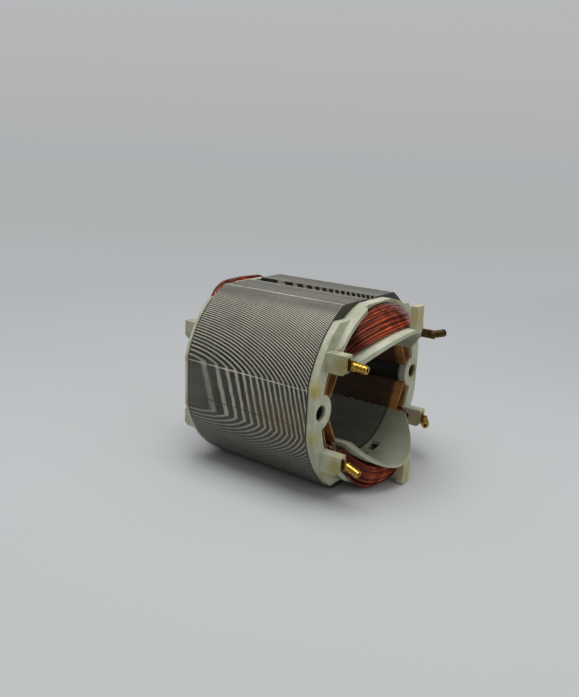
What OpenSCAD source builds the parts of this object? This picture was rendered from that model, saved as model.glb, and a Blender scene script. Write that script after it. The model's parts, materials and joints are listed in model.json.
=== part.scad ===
// Two-pole field stator of a universal motor.
// X runs along the motor axis, towards the terminal end. Z is up. Millimetres.
// The origin lies on the motor axis, half way along the lamination stack.

/* [Lamination stack] */
// Length of the stack along the motor axis
stack_len = 49; // [40:0.5:60]
// Diameter of the bore between the two pole faces
bore_dia = 43; // [40:0.5:48]
// Distance from the bore to the outer wall of the slots
slot_depth = 7.3; // [6.9:0.05:8.5]
// Thickness of the round yoke outside the slots
yoke_t = 6.45; // [6:0.05:7.5]
// How far the side flats cut into the round outline
side_flat = 1; // [0.6:0.05:1.2]
// How far the top and bottom flats cut into the round outline
top_flat = 4; // [3.2:0.1:4.6]
// Angle that one pole face spans
pole_arc = 114; // [106:1:118]
// Width of a pole body, under its coil
pole_w = 24; // [20:0.5:26]
// Thickness of a pole horn at its tip
horn_tip_t = 2.3; // [2:0.1:2.5]
// How far the back of the horns rises from tip to pole body
horn_rise = 2.6; // [2:0.1:3]
// Steel between a through screw hole and its side flat
screw_edge = 1.15; // [0.9:0.05:1.6]
// Diameter of the through screw holes
screw_dia = 5.2; // [4:0.1:5.6]
// Steel left round a screw hole, on the bore side
screw_wall = 3.2; // [2.6:0.1:3.6]
// Width of the locating groove along the top flat
groove_w = 6; // [4:0.2:7]
// Depth of the locating groove
groove_depth = 1.3; // [0.8:0.1:1.6]
// Distance of the locating groove from the middle of the top flat
groove_offset = 1.2; // [0:0.2:4]

/* [End frames] */
// Thickness of the side flange at the terminal end
flange_t = 2.9; // [2:0.1:3.2]
// Thickness of the side flange at the rear end
rear_flange_t = 1.6; // [1.2:0.1:2.2]
// Height that the side flange covers
flange_h = 54; // [50:0.5:56]
// Step between the stack outline and the foot of the flange
shadow_step = 0.5; // [0.3:0.1:0.8]
// Thickness of that step along the axis
shadow_t = 0.35; // [0.2:0.05:0.6]
// Thickness of the cheek that insulates each pole end
cheek_t = 1; // [0.8:0.1:1.2]
// Step from the round steel boss back to the nylon ear over it
ear_setback = 0.1; // [0.05:0.05:0.4]
// Radial thickness of the outer coil guard
guard_t = 1.5; // [1:0.1:1.6]
// How much wider the window of a frame is than the one in the steel
frame_margin = 1.2; // [0.8:0.1:1.6]
// Step from that window out to the inner face of the guard
guard_step = 0.1; // [0.05:0.05:0.2]
// Length of the low lip of the front guard, from the stack end
lip_len = 3.8; // [3:0.1:5]
// Length of the tall walls of the front guard, from the stack end
wall_len = 5.4; // [4.8:0.1:6.5]
// Corner radius of the tall walls
wall_corner = 2; // [1:0.1:2.4]
// Angle from the pole axis where a tall wall starts
wall_from = 17; // [12:1:22]
// Angle from the pole axis where a tall wall ends
wall_to = 53; // [46:1:54]
// Length of the front tongues, from the stack end
tongue_len = 17; // [15.5:0.25:19]
// Length of the rear tongues, from the stack end
rear_tongue_len = 13; // [12.5:0.25:14]
// Thickness of a tongue
tongue_t = 1.3; // [1:0.05:1.4]
// Radius of the round front of a tongue, seen from above
tongue_nose_r = 22.5; // [21:0.5:25]
// Radial room between the armature bore and a tongue
tongue_setback = 0.5; // [0.3:0.05:0.6]
// Width of a relief slot at the root of a tongue
relief_w = 5.6; // [4:0.2:6]
// Length of a relief slot along the axis
relief_len = 4.6; // [3:0.2:5.2]
// Distance of the relief slots from the pole axis
relief_offset = 4.2; // [3.8:0.1:7]
// Width of the tab that holds the coil on a front tongue
hook_w = 4.4; // [4:0.1:6]
// Distance of that tab from the pole axis, towards the far side
hook_offset = 3.3; // [0:0.1:4]
// Thickness of that tab along the axis
hook_t = 2.4; // [1.8:0.1:2.6]

/* [Terminal posts] */
// Width of a post, from side to side of the stator
post_w = 3.6; // [3.2:0.1:4]
// Height of a post
post_h = 6.2; // [5.6:0.1:6.6]
// Height of the post centres above and below the motor axis
post_z = 16.1; // [15.8:0.1:17]
// Step from the side flat of the stack in to the outer face of a post
post_inset = 4.65; // [4.3:0.05:4.8]
// Length of a full post, from the stack end
post_len = 10; // [9:0.25:12]
// Length of the short posts, from the stack end
short_post_len = 6.2; // [5.6:0.1:8]
// Chamfer on the lower front edge of a post
post_chamfer = 1.2; // [0.6:0.1:1.6]
// Height of the pocket in a post
pocket_h = 4.4; // [3.6:0.1:4.6]
// Width of the pocket in a post
pocket_w = 1.8; // [1.2:0.1:2]
// Wall between the pocket and the coil side of a post
pocket_wall = 0.7; // [0.6:0.05:1]
// Nylon between the back of the pocket and the flange
pocket_floor = 0.4; // [0.2:0.1:0.8]

/* [Terminals] */
// Thickness of the brass sheet
brass_t = 0.8; // [0.5:0.05:1]
// Height of the flat blade that sits in the post
blade_h = 3; // [2.4:0.1:3.4]
// Length of the blade in front of a full post
blade_out = 2.2; // [2.2:0.1:3]
// Outer diameter of the crimp barrel
barrel_dia = 2.4; // [2.2:0.1:3]
// Bore of the crimp barrel, where the cut wire sat
barrel_bore = 1.2; // [0.8:0.1:1.4]
// Length of the crimp barrel
barrel_len = 4.6; // [4:0.1:7]
// Length of the closed neck between the blade and the bore of the barrel
neck_len = 1.2; // [1:0.1:2]
// Distance between the crimp ribs
rib_pitch = 1.15; // [1:0.05:1.6]
// Height of a crimp rib
rib_rise = 0.18; // [0.1:0.02:0.3]

/* [Windings and paper] */
// Thickness of the slot liner paper
liner_t = 0.35; // [0.25:0.05:0.45]
// Thickness of the strip that closes a slot
strip_t = 0.4; // [0.3:0.05:0.6]
// How far liners and strips stand out of the stack at each end
paper_out = 2.6; // [1.5:0.1:2.8]
// Angle up the round steel boss at which a strip ends
strip_seat = 33; // [28:1:38]
// Room between a winding and what holds it
coil_gap = 0.15; // [0.1:0.05:0.25]
// Angle from the pole axis to the outer edge of a coil side
coil_edge = 67; // [64:1:68]
// Distance from the stack end to the front of a coil
coil_reach = 14; // [12:0.25:14.2]
// Distance inside the stack at which a coil starts to bend into its end turn
turn_lead_len = 2; // [1.5:0.1:2.4]
// Length over which an end turn falls to the tongue, past the slot paper
foot_fall_len = 1.6; // [1.2:0.1:2]
// Length over which an end turn rises to the guard, past the slot paper
top_climb_len = 2.4; // [1.6:0.1:3]
// How far the rear end turns stand out past the line of the guard
rear_swell = 2.5; // [0:0.1:2.8]
// Height of the wire ridges on a coil
strand_rise = 0.18; // [0.05:0.01:0.25]
// Diameter of a coil lead
lead_dia = 1; // [0.6:0.1:1.1]

/* [Hidden] */
$fn = 96;

NEAR = -1;    // side of the stator at negative Y
FAR = 1;      // side of the stator at positive Y
UPPER = 1;
LOWER = -1;
eps = 0.01;

bore_r = bore_dia / 2;
window_r = bore_r + slot_depth;
stack_r = window_r + yoke_t;
stack_w = 2 * (stack_r - side_flat);
stack_h = 2 * (stack_r - top_flat);
stack_end = stack_len / 2;
pole_half = pole_arc / 2;
screw_y = stack_w / 2 - screw_edge - screw_dia / 2;
steel_boss_r = screw_dia / 2 + screw_wall;
ear_r = steel_boss_r - ear_setback;

// The backs of both horns of a pole lie on one circle, whose centre is horn_rise above the axis.
horn_tip_r = bore_r + horn_tip_t;
horn_back_r = norm([horn_tip_r * sin(pole_half), horn_tip_r * cos(pole_half) - horn_rise]);

// The nylon frame leaves the slots open: its window is wider than the one in the steel.
frame_window_r = window_r + frame_margin;
guard_in_r = frame_window_r + guard_step;
guard_out_r = guard_in_r + guard_t;
tongue_in_r = bore_r + tongue_setback;
tongue_out_r = tongue_in_r + tongue_t;
tongue_half_w = horn_tip_r * sin(pole_half);
hook_foot = (tongue_in_r + tongue_out_r) / 2;
hook_tip = stack_h / 2 - shadow_step;
rear_lip_len = max(paper_out, rear_flange_t);

pocket_start = flange_t + pocket_floor;
post_inner_y = stack_w / 2 - post_inset - post_w;
blade_y = post_inner_y + pocket_wall;

// ---- Shared helpers -------------------------------------------------------------------

// Turns a profile drawn across the motor (x to the far side, y up) so that it extrudes along X.
module along_axis(from, length) {
    translate([from, 0, 0]) rotate([90, 0, 90]) linear_extrude(length) children();
}

// Upward wedge whose sides lie half_angle to each side of the pole axis.
module wedge(half_angle) {
    side = 4 * stack_r;
    polygon([[0, 0], [side * sin(half_angle), side * cos(half_angle)],
             [-side * sin(half_angle), side * cos(half_angle)]]);
}

// Rectangle from x = 0 to length, centred on y, with both far corners rounded.
module round_front(length, half_w, corner) {
    translate([0, -half_w]) square([length - corner, 2 * half_w]);
    translate([0, corner - half_w]) square([length, 2 * (half_w - corner)]);
    for (side = [-1, 1]) translate([length - corner, side * (half_w - corner)]) circle(corner);
}

module both_ways() {
    children();
    mirror([0, 1]) children();
}

module both_sides() {
    children();
    mirror([1, 0]) children();
}

// ---- Lamination stack -----------------------------------------------------------------

module stack_outline(inset = 0) {
    intersection() {
        circle(stack_r - inset);
        square([stack_w - 2 * inset, stack_h - 2 * inset], center = true);
    }
}

// One pole: its body, and horns that taper to the tips.
module pole_section() {
    difference() {
        union() {
            translate([-pole_w / 2, 0]) square([pole_w, stack_h / 2 - eps]);
            intersection() {
                translate([0, horn_rise]) circle(horn_back_r);
                wedge(pole_half);
            }
        }
        circle(bore_r);
    }
}

module screw_circles(radius) {
    both_sides() translate([screw_y, 0]) circle(radius);
}

module lamination_section() {
    difference() {
        union() {
            difference() {
                stack_outline();
                circle(window_r);
            }
            intersection() {
                stack_outline();
                union() {
                    both_ways() pole_section();
                    screw_circles(steel_boss_r);
                }
            }
        }
        screw_circles(screw_dia / 2);
        translate([groove_offset - groove_w / 2, stack_h / 2 - groove_depth])
            square([groove_w, 2 * groove_depth]);
    }
}

module lamination_stack() {
    color("#8d8a80") along_axis(-stack_end, stack_len) lamination_section();
}

// ---- End frames -----------------------------------------------------------------------

module flange_section() {
    difference() {
        intersection() {
            stack_outline();
            union() {
                difference() {
                    square([2 * stack_r, flange_h], center = true);
                    circle(frame_window_r);
                }
                screw_circles(ear_r);
            }
        }
        screw_circles(screw_dia / 2);
    }
}

// Rebate that sets the foot of the flange back from the edge of the stack.
module shadow_rebate() {
    along_axis(-shadow_t, 2 * shadow_t) difference() {
        square(4 * stack_r, center = true);
        stack_outline(shadow_step);
    }
}

module guard_ring() {
    intersection() {
        difference() {
            circle(guard_out_r);
            circle(guard_in_r);
        }
        square([2 * stack_r, stack_h - 2 * shadow_step], center = true);
        both_ways() wedge(pole_half);
    }
}

// Cheek over the end of one pole, out to the middle of the guard's wall.
module cheek_section() {
    intersection() {
        pole_section();
        square([2 * stack_r, stack_h - 2 * shadow_step], center = true);
        difference() {
            circle((guard_in_r + guard_out_r) / 2);
            circle(tongue_in_r);
        }
    }
}

module tongue_section() {
    intersection() {
        difference() {
            circle(tongue_out_r);
            circle(tongue_in_r);
        }
        wedge(pole_half);
    }
}

// Plan of one tall guard wall, between its two angles from the pole axis.
module wall_plan() {
    from = guard_out_r * sin(wall_from);
    to = guard_out_r * sin(wall_to);
    translate([0, (from + to) / 2]) round_front(wall_len, (to - from) / 2, wall_corner);
}

module tall_walls() {
    intersection() {
        along_axis(0, wall_len) guard_ring();
        linear_extrude(stack_r) for (side = [0, 1]) mirror([0, side]) wall_plan();
    }
}

// Inner wall that keeps a coil end off the armature.
module tongue(length) {
    difference() {
        intersection() {
            along_axis(0, length) tongue_section();
            linear_extrude(stack_r) intersection() {
                translate([0, -tongue_half_w]) square([length, 2 * tongue_half_w]);
                translate([length - tongue_nose_r, 0]) circle(tongue_nose_r);
            }
        }
        for (side = [-1, 1]) translate([0, side * relief_offset - relief_w / 2, 0])
            cube([relief_len, relief_w, stack_r]);
    }
}

// Tab that stands on the front edge of a tongue and holds the coil.
module holding_tab() {
    along_axis(tongue_len - hook_t, hook_t) difference() {
        translate([hook_offset - hook_w / 2, 0]) square([hook_w, hook_tip]);
        circle(hook_foot);
    }
}

// Hollow post for a terminal. Side and level pick one of the four corners.
module post(side, level, length) {
    mirror([0, side == NEAR ? 1 : 0, 0])
        translate([0, post_inner_y, level * post_z - post_h / 2]) difference() {
            rotate([90, 0, 0]) translate([0, 0, -post_w]) linear_extrude(post_w) difference() {
                square([length, post_h]);
                translate([length, 0]) rotate(45)
                    square(sqrt(2) * post_chamfer, center = true);
            }
            translate([pocket_start, pocket_wall, (post_h - pocket_h) / 2])
                cube([length, pocket_w, pocket_h]);
            // opening for the coil lead, in the inner wall at the back of the pocket
            translate([pocket_start, -eps, post_h / 2 - lead_dia])
                cube([2 * lead_dia, pocket_wall + 2 * eps, 2 * lead_dia]);
        }
}

// What both end frames have, drawn from the stack end at x = 0.
module frame_body(flange, lip, reach) {
    difference() {
        along_axis(0, flange) flange_section();
        shadow_rebate();
    }
    along_axis(0, cheek_t) both_ways() cheek_section();
    along_axis(0, lip) guard_ring();
    for (level = [0, 1]) mirror([0, 0, level]) tongue(reach);
}

module front_frame() {
    color("#d9dac3") translate([stack_end, 0, 0]) {
        frame_body(flange_t, lip_len, tongue_len);
        for (level = [0, 1]) mirror([0, 0, level]) {
            tall_walls();
            holding_tab();
        }
        post(NEAR, UPPER, post_len);
        post(NEAR, LOWER, post_len);
        post(FAR, UPPER, short_post_len);
        post(FAR, LOWER, post_len);
    }
}

module rear_frame() {
    color("#d9dac3") mirror([1, 0, 0]) translate([stack_end, 0, 0]) {
        frame_body(rear_flange_t, rear_lip_len, rear_tongue_len);
        for (side = [NEAR, FAR], level = [UPPER, LOWER]) post(side, level, short_post_len);
    }
}

// ---- Slot paper -----------------------------------------------------------------------

// A strip closes the mouth of a slot: it runs from the tip of the horn to the round steel
// boss, and its bore side lies on the line from mouth_start to mouth_end.
seat_r = steel_boss_r + liner_t + 2 * coil_gap;
mouth_start = [horn_tip_r * sin(pole_half) + coil_gap, horn_tip_r * cos(pole_half)];
mouth_end = [screw_y - seat_r * cos(strip_seat), seat_r * sin(strip_seat)];
mouth_run = mouth_end - mouth_start;

// Puts what is drawn along x on the mouth line, with y away from the bore.
module on_mouth() {
    translate(mouth_start) rotate(atan2(mouth_run[1], mouth_run[0])) children();
}

// The slot beside the upper pole on the far side, down to the strip, with its steel walls
// moved in by inset.
module slot_section(inset) {
    difference() {
        intersection() {
            circle(window_r - inset);
            translate([pole_w / 2 + inset, 0]) square(stack_r);
        }
        translate([0, horn_rise]) circle(horn_back_r + inset);
        circle(horn_tip_r);
        translate([screw_y, 0]) circle(steel_boss_r + inset);
        on_mouth() translate([-stack_r, -stack_r]) square([3 * stack_r, stack_r + strip_t]);
    }
}

module corner_of(side, level) {
    mirror([0, side == NEAR ? 1 : 0, 0]) mirror([0, 0, level == LOWER ? 1 : 0]) children();
}

module slot_liner(side, level) {
    color("#9a6a35") corner_of(side, level)
        along_axis(-stack_end - paper_out, stack_len + 2 * paper_out) difference() {
            slot_section(0);
            slot_section(liner_t);
        }
}

module slot_strip(side, level) {
    color("#7d5227") corner_of(side, level)
        along_axis(-stack_end - paper_out, stack_len + 2 * paper_out)
            on_mouth() square([norm(mouth_run), strip_t]);
}

module near_upper_liner() { slot_liner(NEAR, UPPER); }
module near_lower_liner() { slot_liner(NEAR, LOWER); }
module far_upper_liner() { slot_liner(FAR, UPPER); }
module far_lower_liner() { slot_liner(FAR, LOWER); }
module near_upper_strip() { slot_strip(NEAR, UPPER); }
module near_lower_strip() { slot_strip(NEAR, LOWER); }
module far_upper_strip() { slot_strip(FAR, UPPER); }
module far_lower_strip() { slot_strip(FAR, LOWER); }

// ---- Coils ----------------------------------------------------------------------------
// A coil is a ring of cross-sections. Each one runs from an inner line, close to the pole,
// to an outer line, and both lines are drawn on the unrolled bore: an angle from the pole
// axis and a place along X. Its radius then goes from the tongue side to the guard side.

coil_turn_steps = 24;       // cross-sections round one end of a coil
coil_top_points = 40;       // points across the guard side of a cross-section
coil_foot_points = 6;       // points across the tongue side
corner_share = 0.12;        // share of an end turn in which the inner line rounds a pole corner
turn_sharpness = 1.75;      // shape of the outer line: 2 is a parabola
crest_share = 0.3;          // where the guard side of an end turn starts to fall
crest_drop = 0.93;          // how far it falls at the front, as a share of a full ellipse
edge_share = 0.4;           // thickness left at both edges of a cross-section, as a share
edge_power = 6;             // how late a cross-section thins towards those edges
shoulder_from = 38;         // angle from the pole axis where a coil leaves the guard
shoulder_span = 14;         // angle over which it drops to the slot
rear_shoulder_from = 45;    // the same two angles at the rear end, where the coils are fuller
rear_shoulder_span = 11;

slot_foot_r = norm([pole_w / 2, horn_rise + sqrt(horn_back_r ^ 2 - (pole_w / 2) ^ 2)])
    + liner_t + coil_gap;
slot_top_r = window_r - liner_t - coil_gap;
coil_inner_edge = asin((pole_w / 2 + liner_t + coil_gap) / slot_foot_r);
turn_start = stack_end - turn_lead_len;
turn_inner_x = stack_end + cheek_t + coil_gap;
turn_outer_x = stack_end + coil_reach;
past_paper_x = stack_end + paper_out + coil_gap;
turn_foot_r = tongue_out_r + coil_gap;
turn_top_r = guard_in_r - coil_gap;
past_rear_lip_x = stack_end + rear_lip_len + coil_gap;
coil_flat_z = stack_h / 2 - coil_gap;

function mix(a, b, share) = a + (b - a) * share;
function clamp01(value) = min(1, max(0, value));
function smooth(value) = let (t = clamp01(value)) t * t * (3 - 2 * t);

// Inner line at share s of an end turn, from one coil side (0) to the other (1).
function inner_line(s) =
    s < corner_share ? [-coil_inner_edge, mix(turn_start, turn_inner_x, s / corner_share)] :
    s > 1 - corner_share ?
        [coil_inner_edge, mix(turn_start, turn_inner_x, (1 - s) / corner_share)] :
    [mix(-coil_inner_edge, coil_inner_edge, (s - corner_share) / (1 - 2 * corner_share)),
     turn_inner_x];

function outer_line(s) =
    let (angle = -coil_edge * cos(180 * s))
    [angle, turn_start
        + (turn_outer_x - turn_start) * (1 - (abs(angle) / coil_edge) ^ turn_sharpness)];

// Radius of the tongue side at a place along X.
function foot_r(x) =
    mix(slot_foot_r, turn_foot_r, smooth((x - past_paper_x) / foot_fall_len));

// Radius of the guard side where the coil is full. A rear end turn swells past the line of
// the guard, but stays between the flats of the stack.
function top_r(angle, x, rear) =
    rear ?
        mix(slot_top_r, min(turn_top_r + rear_swell, coil_flat_z / cos(angle)),
            smooth((x - past_rear_lip_x) / top_climb_len)
                * (1 - smooth((abs(angle) - rear_shoulder_from) / rear_shoulder_span))) :
    mix(slot_top_r, turn_top_r,
        smooth((x - past_paper_x) / top_climb_len)
            * (1 - smooth((abs(angle) - shoulder_from) / shoulder_span)));

function crest(b) =
    b < crest_share ? 1 : sqrt(1 - crest_drop * ((b - crest_share) / (1 - crest_share)) ^ 2);

// Point of the cross-section at share s: b runs from the inner to the outer line.
function coil_point(s, b, on_top, ridge, rear) =
    let (
        place = mix(inner_line(s), outer_line(s), b),
        turned = smooth((outer_line(s)[1] - turn_start) / (coil_reach / 2)),
        low = foot_r(place[1]),
        full = top_r(place[0], place[1], rear),
        high = mix(full, mix(low, full, crest(b)), turned) - ridge * strand_rise,
        middle = (low + high) / 2,
        roundness = mix(edge_share, 1, sqrt(1 - abs(2 * b - 1) ^ edge_power)),
        r = middle + (on_top ? high - middle : low - middle) * roundness
    )
    [place[1], r * sin(place[0]), r * cos(place[0])];

function cross_section(s, rear) = concat(
    [for (k = [0 : coil_top_points - 1])
        coil_point(s, k / (coil_top_points - 1), true, k % 2, rear)],
    [for (k = [0 : coil_foot_points - 1])
        coil_point(s, 1 - k / (coil_foot_points - 1), false, 0, rear)]
);

function flip_x(points) = [for (p = points) [-p[0], p[1], p[2]]];

module coil() {
    rings = concat(
        [for (i = [0 : coil_turn_steps]) cross_section(i / coil_turn_steps, false)],
        [for (i = [coil_turn_steps : -1 : 0]) flip_x(cross_section(i / coil_turn_steps, true))]
    );
    around = coil_top_points + coil_foot_points;
    count = len(rings);
    polyhedron(
        points = [for (ring = rings, p = ring) p],
        faces = [for (i = [0 : count - 1], j = [0 : around - 1])
            let (a = i * around + j, b = i * around + (j + 1) % around,
                 c = ((i + 1) % count) * around + (j + 1) % around,
                 d = ((i + 1) % count) * around + j)
            each [[a, c, b], [a, d, c]]]
    );
}

module upper_coil() { color("#a8492a") coil(); }
module lower_coil() { color("#a8492a") mirror([0, 0, 1]) coil(); }

// ---- Terminals and leads --------------------------------------------------------------

// How far each barrel is bent down from its blade and then swung outwards, in degrees.
// A number below 0 bends or swings it the other way.
NEAR_UPPER_BEND = [5, 0];
NEAR_LOWER_BEND = [16, 6];
FAR_UPPER_BEND = [-18, 4];
FAR_LOWER_BEND = [8, -62];

// Blade with its bent crimp barrel. It reaches as far out of a short post as of a full one.
module terminal(side, level, bend) {
    blade_start = stack_end + pocket_start;
    blade_len = post_len - pocket_start + blade_out;
    color("#c79a3a") mirror([0, side == NEAR ? 1 : 0, 0])
        translate([blade_start, blade_y, level * post_z]) {
            translate([0, 0, -blade_h / 2]) cube([blade_len, brass_t, blade_h]);
            translate([blade_len - brass_t, brass_t / 2, 0]) rotate([0, bend[0], bend[1]])
                rotate([0, 90, 0]) barrel();
        }
}

module barrel() {
    difference() {
        union() {
            cylinder(h = barrel_len, d = barrel_dia);
            for (z = [barrel_len - rib_pitch / 2 : -rib_pitch : neck_len])
                translate([0, 0, z - rib_pitch / 2])
                    cylinder(h = rib_pitch / 2, d = barrel_dia + 2 * rib_rise);
        }
        translate([0, 0, neck_len]) cylinder(h = barrel_len, d = barrel_bore);
    }
}

module near_upper_terminal() { terminal(NEAR, UPPER, NEAR_UPPER_BEND); }
module near_lower_terminal() { terminal(NEAR, LOWER, NEAR_LOWER_BEND); }
module far_upper_terminal() { terminal(FAR, UPPER, FAR_UPPER_BEND); }
module far_lower_terminal() { terminal(FAR, LOWER, FAR_LOWER_BEND); }

lead_sides = 8;
lead_exit = 64;             // angle from the pole axis at which a lead leaves its slot
lead_drift = 3;             // how far it then drifts towards the pole axis, as an angle
lead_slack = 0.2;           // how far it bows at the mouth of the pocket
lead_r = slot_top_r - lead_dia / 2;

// Tube round the points, which run roughly along X at first and turn into the post.
module tube(points, dia) {
    last = len(points) - 1;
    function along(i) = let (d = points[min(i + 1, last)] - points[max(i - 1, 0)]) d / norm(d);
    function ring(i) =
        let (t = along(i), u = cross([0, 0, 1], t) / norm(cross([0, 0, 1], t)), v = cross(t, u))
        [for (k = [0 : lead_sides - 1])
            points[i] + dia / 2 * (u * cos(360 * k / lead_sides) + v * sin(360 * k / lead_sides))];
    rings = [for (i = [0 : last]) each ring(i)];
    polyhedron(
        points = rings,
        faces = concat(
            [[for (k = [0 : lead_sides - 1]) k]],
            [[for (k = [lead_sides - 1 : -1 : 0]) last * lead_sides + k]],
            [for (i = [0 : last - 1], k = [0 : lead_sides - 1])
                let (a = i * lead_sides + k, b = i * lead_sides + (k + 1) % lead_sides)
                each [[a, a + lead_sides, b + lead_sides], [a, b + lead_sides, b]]]
        )
    );
}

// Lead from its slot, over the edge of the liner, to the blade of its terminal.
module lead(side, level) {
    pocket_x = pocket_start + lead_dia;
    paper_x = max(paper_out, lip_len) + lead_dia / 2;
    start = [coil_gap, lead_r * sin(lead_exit), lead_r * cos(lead_exit)];
    over_paper = [min(paper_x, pocket_x), lead_r * sin(lead_exit - lead_drift),
                  lead_r * cos(lead_exit - lead_drift)];
    bend = [pocket_x, post_inner_y - lead_dia, post_z - 1.2 * lead_dia];
    finish = [pocket_x, blade_y - lead_dia / 4, post_z];
    entering = mix(bend, finish, 0.5) + [lead_slack, -lead_slack, 0];
    color("#5a2a1c") corner_of(side, level) translate([stack_end, 0, 0])
        tube([start, over_paper, bend, entering, finish], lead_dia);
}

module near_upper_lead() { lead(NEAR, UPPER); }
module near_lower_lead() { lead(NEAR, LOWER); }
module far_upper_lead() { lead(FAR, UPPER); }
module far_lower_lead() { lead(FAR, LOWER); }

// ---- The whole part -------------------------------------------------------------------

lamination_stack();
front_frame();
rear_frame();
upper_coil();
lower_coil();
near_upper_liner();
near_lower_liner();
far_upper_liner();
far_lower_liner();
near_upper_strip();
near_lower_strip();
far_upper_strip();
far_lower_strip();
near_upper_terminal();
near_lower_terminal();
far_upper_terminal();
far_lower_terminal();
near_upper_lead();
near_lower_lead();
far_upper_lead();
far_lower_lead();
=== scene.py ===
"""Looks of a universal motor field stator: finishes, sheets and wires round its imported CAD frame.

X is the motor axis towards the terminals, Z is up, and the origin is in the middle of the stack.
Shapes are worked out in millimetres and turned to metres where a mesh is made.
"""
import json

import bpy
import numpy as np
from mathutils import Matrix, Vector
from mathutils.geometry import tessellate_polygon


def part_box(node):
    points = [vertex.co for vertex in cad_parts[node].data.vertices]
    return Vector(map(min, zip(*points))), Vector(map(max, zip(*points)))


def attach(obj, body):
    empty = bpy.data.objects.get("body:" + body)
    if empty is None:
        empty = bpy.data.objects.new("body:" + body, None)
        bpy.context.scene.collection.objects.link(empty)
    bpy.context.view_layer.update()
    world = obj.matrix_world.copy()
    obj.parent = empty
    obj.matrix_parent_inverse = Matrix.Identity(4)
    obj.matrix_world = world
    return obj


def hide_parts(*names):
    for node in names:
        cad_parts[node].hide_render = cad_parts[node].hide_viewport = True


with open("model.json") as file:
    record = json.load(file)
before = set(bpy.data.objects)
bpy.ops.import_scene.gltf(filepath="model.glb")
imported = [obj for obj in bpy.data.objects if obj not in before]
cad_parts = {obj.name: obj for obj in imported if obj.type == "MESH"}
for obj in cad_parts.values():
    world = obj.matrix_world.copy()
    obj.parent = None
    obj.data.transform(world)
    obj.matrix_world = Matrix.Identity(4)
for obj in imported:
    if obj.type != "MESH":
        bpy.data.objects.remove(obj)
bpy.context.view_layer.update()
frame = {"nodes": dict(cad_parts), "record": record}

MM = 0.001
NODES = frame["nodes"]
rng = np.random.default_rng(7)


def mount(name):
    """The record's mount of that name."""
    return next(m for m in frame["record"]["mounts"] if m["name"] == name)


# ---- Sizes read from the frame, and those of the section, in mm --------------------------

STACK_END, HALF_W, HALF_H = (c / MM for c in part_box("lamination_stack")[1])
BORE_R = mount("armature_bore")["dims"]["r_mm"]
SCREW_R = mount("through_screws")["dims"]["hole_r_mm"]
SCREW_Y = mount("through_screws")["dims"]["spacing_x_mm"] / 2

STACK_R = 35.25            # round part of the outline
WINDOW_R = 28.8            # outer wall of the slots
POLE_HALF = 57.0           # half the angle of a pole face
POLE_W = 24.0              # width of a pole body
HORN_TIP_R = 23.8
HORN_RISE = 2.6            # centre of the horn backs above the axis
BOSS_R = 5.8               # round steel boss behind a screw hole
GROOVE = (-1.8, 4.2, 1.3)  # locating groove in the top flat: from, to, depth

SHEETS = 102               # stamped sheets in the stack
JOINT_W = 0.13             # width of the joint between two sheets
JOINT_DEPTH = 0.09
EDGE_STEP = 0.03           # how far one sheet's edge may lie behind another's


# ---- Mesh helpers ------------------------------------------------------------------------

def piece(name, points, faces, material, smooth=40.0, attributes=None):
    """A mesh object from points in mm and lists of faces, riding on the part, sharp past smooth degrees."""
    mesh = bpy.data.meshes.new(name)
    mesh.from_pydata((np.asarray(points) * MM).tolist(), [], faces)
    mesh.validate()
    mesh.shade_smooth()
    mesh.set_sharp_from_angle(angle=np.radians(smooth))
    for key, values in (attributes or {}).items():
        layer = mesh.attributes.new(key, "FLOAT", "POINT")
        layer.data.foreach_set("value", np.asarray(values, np.float32).ravel())
    mesh.materials.append(material)
    obj = bpy.data.objects.new(name, mesh)
    bpy.context.scene.collection.objects.link(obj)
    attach(obj, "root")
    return obj


def ring_faces(rings, around, start=0):
    """Quads between successive rings of points, each ring closed on itself."""
    k, n = np.meshgrid(np.arange(rings - 1), np.arange(around), indexing="ij")
    following = (n + 1) % around
    return np.stack(
        [k * around + n, k * around + following, (k + 1) * around + following, (k + 1) * around + n], -1
    ).reshape(-1, 4) + start


def smoothstep(value):
    """0 below 0, 1 above 1, and 3t^2 - 2t^3 between."""
    t = np.clip(value, 0, 1)
    return t * t * (3 - 2 * t)


def mix(a, b, share):
    """a towards b by share."""
    return a + (b - a) * share


def tubes(paths, radius, sides):
    """Round tubes along paths (wires, rings, 3): each ring turns about the path's tangent.

    A point is p + r (cos t u + sin t v), where u and v are square to the tangent.
    """
    wires, rings = paths.shape[:2]
    tangent = np.gradient(paths, axis=1)
    tangent /= np.linalg.norm(tangent, axis=2, keepdims=True)
    aside = np.array([0.13, 0.97, 0.21])  # a direction that no path takes
    u = np.cross(tangent, aside)
    u /= np.linalg.norm(u, axis=2, keepdims=True)
    v = np.cross(tangent, u)
    t = np.linspace(0, 2 * np.pi, sides, endpoint=False)
    r = np.broadcast_to(radius, (wires, rings))[..., None, None]
    return (
        paths[:, :, None]
        + r * (np.cos(t)[:, None] * u[:, :, None] + np.sin(t)[:, None] * v[:, :, None])
    )


# ---- Materials ---------------------------------------------------------------------------

def colour(hex_code):
    """Linear RGBA of an sRGB hex colour: ((c + 0.055) / 1.055) ^ 2.4 above 0.04045."""
    c = np.array([int(hex_code[i : i + 2], 16) for i in (1, 3, 5)]) / 255
    linear = np.where(c > 0.04045, ((c + 0.055) / 1.055) ** 2.4, c / 12.92)
    return (*linear.tolist(), 1.0)


def new_material(name):
    """A material of that name: it, its nodes, its Principled shader and its Object coordinates."""
    material = bpy.data.materials.new(name)
    material.use_nodes = True
    tree = material.node_tree
    shader = tree.nodes["Principled BSDF"]
    coords = tree.nodes.new("ShaderNodeTexCoord").outputs["Object"]
    return material, tree, shader, coords


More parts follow.
